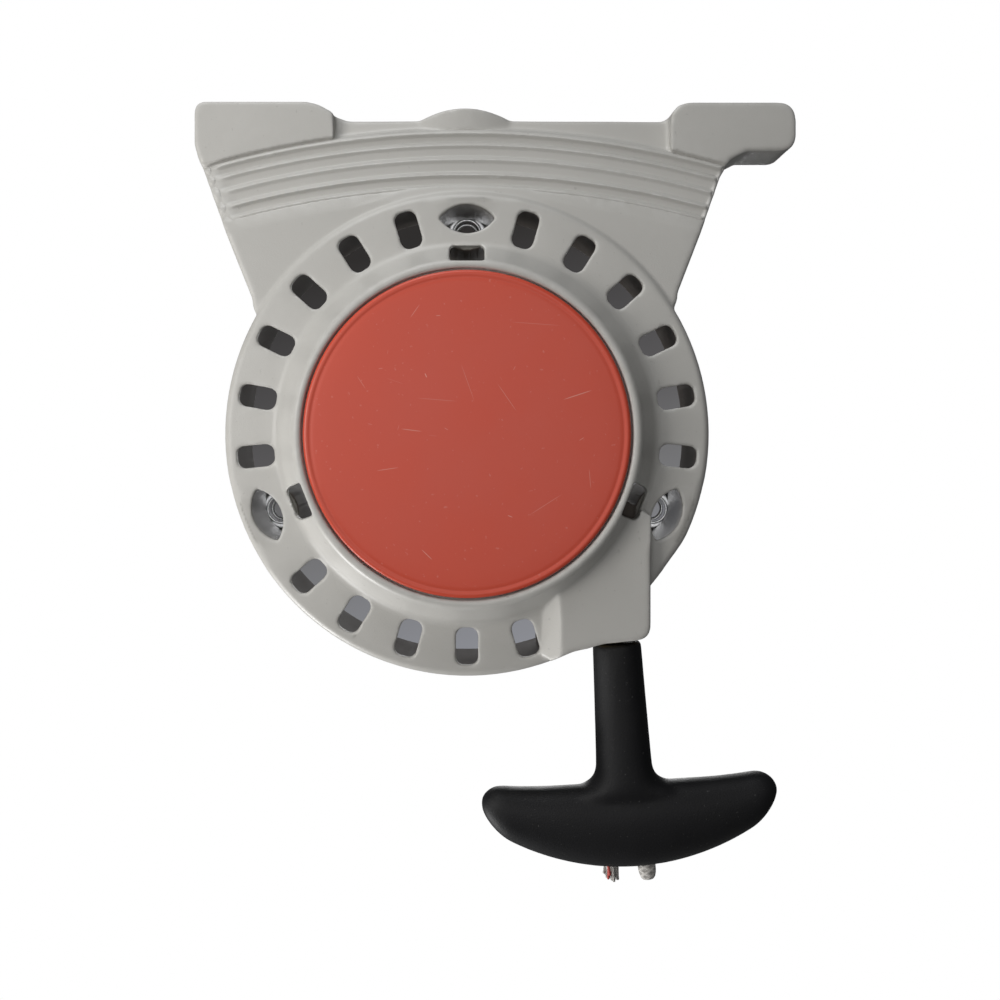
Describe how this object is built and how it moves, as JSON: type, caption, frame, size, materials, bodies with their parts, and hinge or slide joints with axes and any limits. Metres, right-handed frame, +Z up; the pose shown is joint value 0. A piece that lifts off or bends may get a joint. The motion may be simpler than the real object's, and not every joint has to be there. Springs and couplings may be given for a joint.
{
  "type": "recoil starter",
  "caption": "Round slotted fan housing with a snap-in front disc, an inner rope rotor with rewind spring and pawls, and a T grip on a pull rope.",
  "frame": {"origin": "on the rotor axis, in the plane of the mounting rim at the back", "axes": "+Z up towards the head plate, +X to the right seen from the front, +Y back towards the engine"},
  "size_m": [0.2052, 0.0505, 0.2671],
  "materials": {
    "housing_grey": "satin moulded",
    "cap_red": "satin moulded, lightly scuffed",
    "zinc_steel": "bright zinc plated",
    "axle_steel": "ground",
    "spring_steel": "blued",
    "pressed_steel": "pressed sheet",
    "brass_eyelet": "polished",
    "rope_white": "braided",
    "rotor_black": "moulded",
    "pawl_steel": "sintered",
    "grip_black": "matte"
  },
  "bodies": {
    "housing": {"fan_housing": "housing_grey", "rim_skirt": "housing_grey", "head_plate": "housing_grey", "fixing_boss_top": "housing_grey", "fixing_boss_left": "housing_grey", "fixing_boss_right": "housing_grey", "front_cap": "cap_red", "mount_sleeve_top": "zinc_steel", "mount_sleeve_left": "zinc_steel", "mount_sleeve_right": "zinc_steel", "rotor_axle": "axle_steel", "spring_case": "pressed_steel", "rewind_spring": "spring_steel", "spring_case_cover": "pressed_steel", "case_screws": "zinc_steel", "axle_washer": "zinc_steel", "axle_screw": "zinc_steel", "rope_bushing": "brass_eyelet", "rope_run": "rope_white"},
    "rotor": {"rope_rotor": "rotor_black", "rope_winding": "rope_white", "rotor_rope_knot": "rope_white", "ratchet_guide": "pressed_steel", "friction_spring": "spring_steel", "pawl_pin_a": "axle_steel", "pawl_pin_b": "axle_steel", "pawl_springs": "spring_steel"},
    "starter_pawl_a": {"pawl_a": "pawl_steel"},
    "starter_pawl_b": {"pawl_b": "pawl_steel"},
    "grip": {"pull_grip": "grip_black", "knot_washer": "zinc_steel", "rope_lead": "rope_white", "grip_knot": "rope_white", "rope_tail_cut_end": "rope_white", "rope_tail_loop": "rope_white"}
  },
  "joints": [
    {"name": "handle_pull", "type": "slide", "parent": "housing", "child": "grip", "axis": [0.0593, 0, -0.9982], "range_m": [0, 0.8], "stiffness_N_per_m": 14, "springref_m": -0.57},
    {"name": "rotor_spin", "type": "hinge", "parent": "housing", "child": "rotor", "pos_m": [0, -0.025, 0], "axis": [0, 1, 0], "range_deg": [0, 1080]},
    {"name": "pawl_a_swing", "type": "hinge", "parent": "rotor", "child": "starter_pawl_a", "pos_m": [0.026, -0.01535, 0], "axis": [0, -1, 0], "range_deg": [0, 32], "stiffness_Nm_per_rad": 0.002, "springref_deg": -34.38},
    {"name": "pawl_b_swing", "type": "hinge", "parent": "rotor", "child": "starter_pawl_b", "pos_m": [-0.026, -0.01535, 0], "axis": [0, -1, 0], "range_deg": [0, 32], "stiffness_Nm_per_rad": 0.002, "springref_deg": -34.38}
  ],
  "couplings": [
    {"joint": "rotor_spin", "follows": "handle_pull", "rad_per_m": 23.137},
    {"joint": "pawl_b_swing", "follows": "pawl_a_swing", "ratio": 1}
  ]
}
